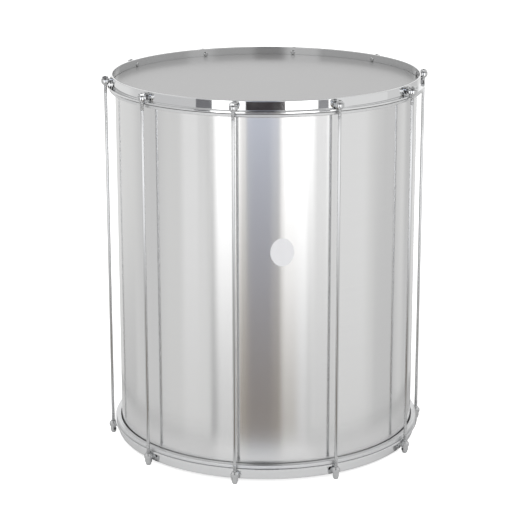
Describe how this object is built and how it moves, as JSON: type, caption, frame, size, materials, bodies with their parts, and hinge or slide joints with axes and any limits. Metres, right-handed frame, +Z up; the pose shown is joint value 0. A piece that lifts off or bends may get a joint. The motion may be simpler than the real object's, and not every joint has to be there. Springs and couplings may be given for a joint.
{
  "type": "surdo drum",
  "caption": "Tall samba bass drum: an aluminium shell with a film head on each end, held by chromed hoops that tension rods join from end to end.",
  "frame": {"origin": "on the floor under the drum's axis, level with the flat ends of the bottom cap nuts that the drum stands on", "axes": "+Z up along the drum's axis to the playing head, -Y towards tension rod 1"},
  "size_m": [0.5334, 0.5542, 0.634],
  "materials": {
    "shell_aluminium": "fine brushed, bright",
    "chrome": "mirror plated steel",
    "flesh_hoop_metal": "satin",
    "head_film": "smooth translucent white film"
  },
  "bodies": {
    "drum": {"shell": "shell_aluminium", "bottom_head": "head_film", "top_head": "head_film", "bottom_flesh_hoop": "flesh_hoop_metal", "top_flesh_hoop": "flesh_hoop_metal", "tension_rod_1": "chrome", "tension_rod_2": "chrome", "tension_rod_3": "chrome", "tension_rod_4": "chrome", "tension_rod_5": "chrome", "tension_rod_6": "chrome", "tension_rod_7": "chrome", "tension_rod_8": "chrome", "tension_rod_9": "chrome", "tension_rod_10": "chrome"},
    "top_hoop": {"top_counter_hoop": "chrome", "top_ear_1": "chrome", "top_ear_2": "chrome", "top_ear_3": "chrome", "top_ear_4": "chrome", "top_ear_5": "chrome", "top_ear_6": "chrome", "top_ear_7": "chrome", "top_ear_8": "chrome", "top_ear_9": "chrome", "top_ear_10": "chrome"},
    "bottom_hoop": {"bottom_counter_hoop": "chrome", "bottom_ear_1": "chrome", "bottom_ear_2": "chrome", "bottom_ear_3": "chrome", "bottom_ear_4": "chrome", "bottom_ear_5": "chrome", "bottom_ear_6": "chrome", "bottom_ear_7": "chrome", "bottom_ear_8": "chrome", "bottom_ear_9": "chrome", "bottom_ear_10": "chrome"},
    "top_nut_1_body": {"top_nut_1": "chrome"},
    "top_nut_2_body": {"top_nut_2": "chrome"},
    "top_nut_3_body": {"top_nut_3": "chrome"},
    "top_nut_4_body": {"top_nut_4": "chrome"},
    "top_nut_5_body": {"top_nut_5": "chrome"},
    "top_nut_6_body": {"top_nut_6": "chrome"},
    "top_nut_7_body": {"top_nut_7": "chrome"},
    "top_nut_8_body": {"top_nut_8": "chrome"},
    "top_nut_9_body": {"top_nut_9": "chrome"},
    "top_nut_10_body": {"top_nut_10": "chrome"},
    "bottom_nut_1_body": {"bottom_nut_1": "chrome"},
    "bottom_nut_2_body": {"bottom_nut_2": "chrome"},
    "bottom_nut_3_body": {"bottom_nut_3": "chrome"},
    "bottom_nut_4_body": {"bottom_nut_4": "chrome"},
    "bottom_nut_5_body": {"bottom_nut_5": "chrome"},
    "bottom_nut_6_body": {"bottom_nut_6": "chrome"},
    "bottom_nut_7_body": {"bottom_nut_7": "chrome"},
    "bottom_nut_8_body": {"bottom_nut_8": "chrome"},
    "bottom_nut_9_body": {"bottom_nut_9": "chrome"},
    "bottom_nut_10_body": {"bottom_nut_10": "chrome"}
  },
  "joints": [
    {"name": "top_hoop_slide", "type": "slide", "parent": "drum", "child": "top_hoop", "axis": [0, 0, 1], "range_m": [0, 0.003]},
    {"name": "bottom_hoop_slide", "type": "slide", "parent": "drum", "child": "bottom_hoop", "axis": [0, 0, -1], "range_m": [0, 0.003]},
    {"name": "top_nut_1_turn", "type": "hinge", "parent": "top_hoop", "child": "top_nut_1_body", "pos_m": [0, -0.27, 0.6275], "axis": [0, 0, 1], "range_deg": [0, 1080.01]},
    {"name": "top_nut_2_turn", "type": "hinge", "parent": "top_hoop", "child": "top_nut_2_body", "pos_m": [0.1587, -0.21843, 0.6275], "axis": [0, 0, 1], "range_deg": [0, 1080.01]},
    {"name": "top_nut_3_turn", "type": "hinge", "parent": "top_hoop", "child": "top_nut_3_body", "pos_m": [0.25679, -0.08343, 0.6275], "axis": [0, 0, 1], "range_deg": [0, 1080.01]},
    {"name": "top_nut_4_turn", "type": "hinge", "parent": "top_hoop", "child": "top_nut_4_body", "pos_m": [0.25679, 0.08343, 0.6275], "axis": [0, 0, 1], "range_deg": [0, 1080.01]},
    {"name": "top_nut_5_turn", "type": "hinge", "parent": "top_hoop", "child": "top_nut_5_body", "pos_m": [0.1587, 0.21843, 0.6275], "axis": [0, 0, 1], "range_deg": [0, 1080.01]},
    {"name": "top_nut_6_turn", "type": "hinge", "parent": "top_hoop", "child": "top_nut_6_body", "pos_m": [0, 0.27, 0.6275], "axis": [0, 0, 1], "range_deg": [0, 1080.01]},
    {"name": "top_nut_7_turn", "type": "hinge", "parent": "top_hoop", "child": "top_nut_7_body", "pos_m": [-0.1587, 0.21843, 0.6275], "axis": [0, 0, 1], "range_deg": [0, 1080.01]},
    {"name": "top_nut_8_turn", "type": "hinge", "parent": "top_hoop", "child": "top_nut_8_body", "pos_m": [-0.25679, 0.08343, 0.6275], "axis": [0, 0, 1], "range_deg": [0, 1080.01]},
    {"name": "top_nut_9_turn", "type": "hinge", "parent": "top_hoop", "child": "top_nut_9_body", "pos_m": [-0.25679, -0.08343, 0.6275], "axis": [0, 0, 1], "range_deg": [0, 1080.01]},
    {"name": "top_nut_10_turn", "type": "hinge", "parent": "top_hoop", "child": "top_nut_10_body", "pos_m": [-0.1587, -0.21843, 0.6275], "axis": [0, 0, 1], "range_deg": [0, 1080.01]},
    {"name": "bottom_nut_1_turn", "type": "hinge", "parent": "bottom_hoop", "child": "bottom_nut_1_body", "pos_m": [0, -0.27, 0.0119], "axis": [0, 0, -1], "range_deg": [0, 1080.01]},
    {"name": "bottom_nut_2_turn", "type": "hinge", "parent": "bottom_hoop", "child": "bottom_nut_2_body", "pos_m": [0.1587, -0.21843, 0.0119], "axis": [0, 0, -1], "range_deg": [0, 1080.01]},
    {"name": "bottom_nut_3_turn", "type": "hinge", "parent": "bottom_hoop", "child": "bottom_nut_3_body", "pos_m": [0.25679, -0.08343, 0.0119], "axis": [0, 0, -1], "range_deg": [0, 1080.01]},
    {"name": "bottom_nut_4_turn", "type": "hinge", "parent": "bottom_hoop", "child": "bottom_nut_4_body", "pos_m": [0.25679, 0.08343, 0.0119], "axis": [0, 0, -1], "range_deg": [0, 1080.01]},
    {"name": "bottom_nut_5_turn", "type": "hinge", "parent": "bottom_hoop", "child": "bottom_nut_5_body", "pos_m": [0.1587, 0.21843, 0.0119], "axis": [0, 0, -1], "range_deg": [0, 1080.01]},
    {"name": "bottom_nut_6_turn", "type": "hinge", "parent": "bottom_hoop", "child": "bottom_nut_6_body", "pos_m": [0, 0.27, 0.0119], "axis": [0, 0, -1], "range_deg": [0, 1080.01]},
    {"name": "bottom_nut_7_turn", "type": "hinge", "parent": "bottom_hoop", "child": "bottom_nut_7_body", "pos_m": [-0.1587, 0.21843, 0.0119], "axis": [0, 0, -1], "range_deg": [0, 1080.01]},
    {"name": "bottom_nut_8_turn", "type": "hinge", "parent": "bottom_hoop", "child": "bottom_nut_8_body", "pos_m": [-0.25679, 0.08343, 0.0119], "axis": [0, 0, -1], "range_deg": [0, 1080.01]},
    {"name": "bottom_nut_9_turn", "type": "hinge", "parent": "bottom_hoop", "child": "bottom_nut_9_body", "pos_m": [-0.25679, -0.08343, 0.0119], "axis": [0, 0, -1], "range_deg": [0, 1080.01]},
    {"name": "bottom_nut_10_turn", "type": "hinge", "parent": "bottom_hoop", "child": "bottom_nut_10_body", "pos_m": [-0.1587, -0.21843, 0.0119], "axis": [0, 0, -1], "range_deg": [0, 1080.01]}
  ],
  "couplings": [
    {"joint": "top_nut_1_turn", "follows": "top_hoop_slide", "rad_per_m": 6283.2},
    {"joint": "top_nut_2_turn", "follows": "top_hoop_slide", "rad_per_m": 6283.2},
    {"joint": "top_nut_3_turn", "follows": "top_hoop_slide", "rad_per_m": 6283.2},
    {"joint": "top_nut_4_turn", "follows": "top_hoop_slide", "rad_per_m": 6283.2},
    {"joint": "top_nut_5_turn", "follows": "top_hoop_slide", "rad_per_m": 6283.2},
    {"joint": "top_nut_6_turn", "follows": "top_hoop_slide", "rad_per_m": 6283.2},
    {"joint": "top_nut_7_turn", "follows": "top_hoop_slide", "rad_per_m": 6283.2},
    {"joint": "top_nut_8_turn", "follows": "top_hoop_slide", "rad_per_m": 6283.2},
    {"joint": "top_nut_9_turn", "follows": "top_hoop_slide", "rad_per_m": 6283.2},
    {"joint": "top_nut_10_turn", "follows": "top_hoop_slide", "rad_per_m": 6283.2},
    {"joint": "bottom_nut_1_turn", "follows": "bottom_hoop_slide", "rad_per_m": 6283.2},
    {"joint": "bottom_nut_2_turn", "follows": "bottom_hoop_slide", "rad_per_m": 6283.2},
    {"joint": "bottom_nut_3_turn", "follows": "bottom_hoop_slide", "rad_per_m": 6283.2},
    {"joint": "bottom_nut_4_turn", "follows": "bottom_hoop_slide", "rad_per_m": 6283.2},
    {"joint": "bottom_nut_5_turn", "follows": "bottom_hoop_slide", "rad_per_m": 6283.2},
    {"joint": "bottom_nut_6_turn", "follows": "bottom_hoop_slide", "rad_per_m": 6283.2},
    {"joint": "bottom_nut_7_turn", "follows": "bottom_hoop_slide", "rad_per_m": 6283.2},
    {"joint": "bottom_nut_8_turn", "follows": "bottom_hoop_slide", "rad_per_m": 6283.2},
    {"joint": "bottom_nut_9_turn", "follows": "bottom_hoop_slide", "rad_per_m": 6283.2},
    {"joint": "bottom_nut_10_turn", "follows": "bottom_hoop_slide", "rad_per_m": 6283.2}
  ]
}
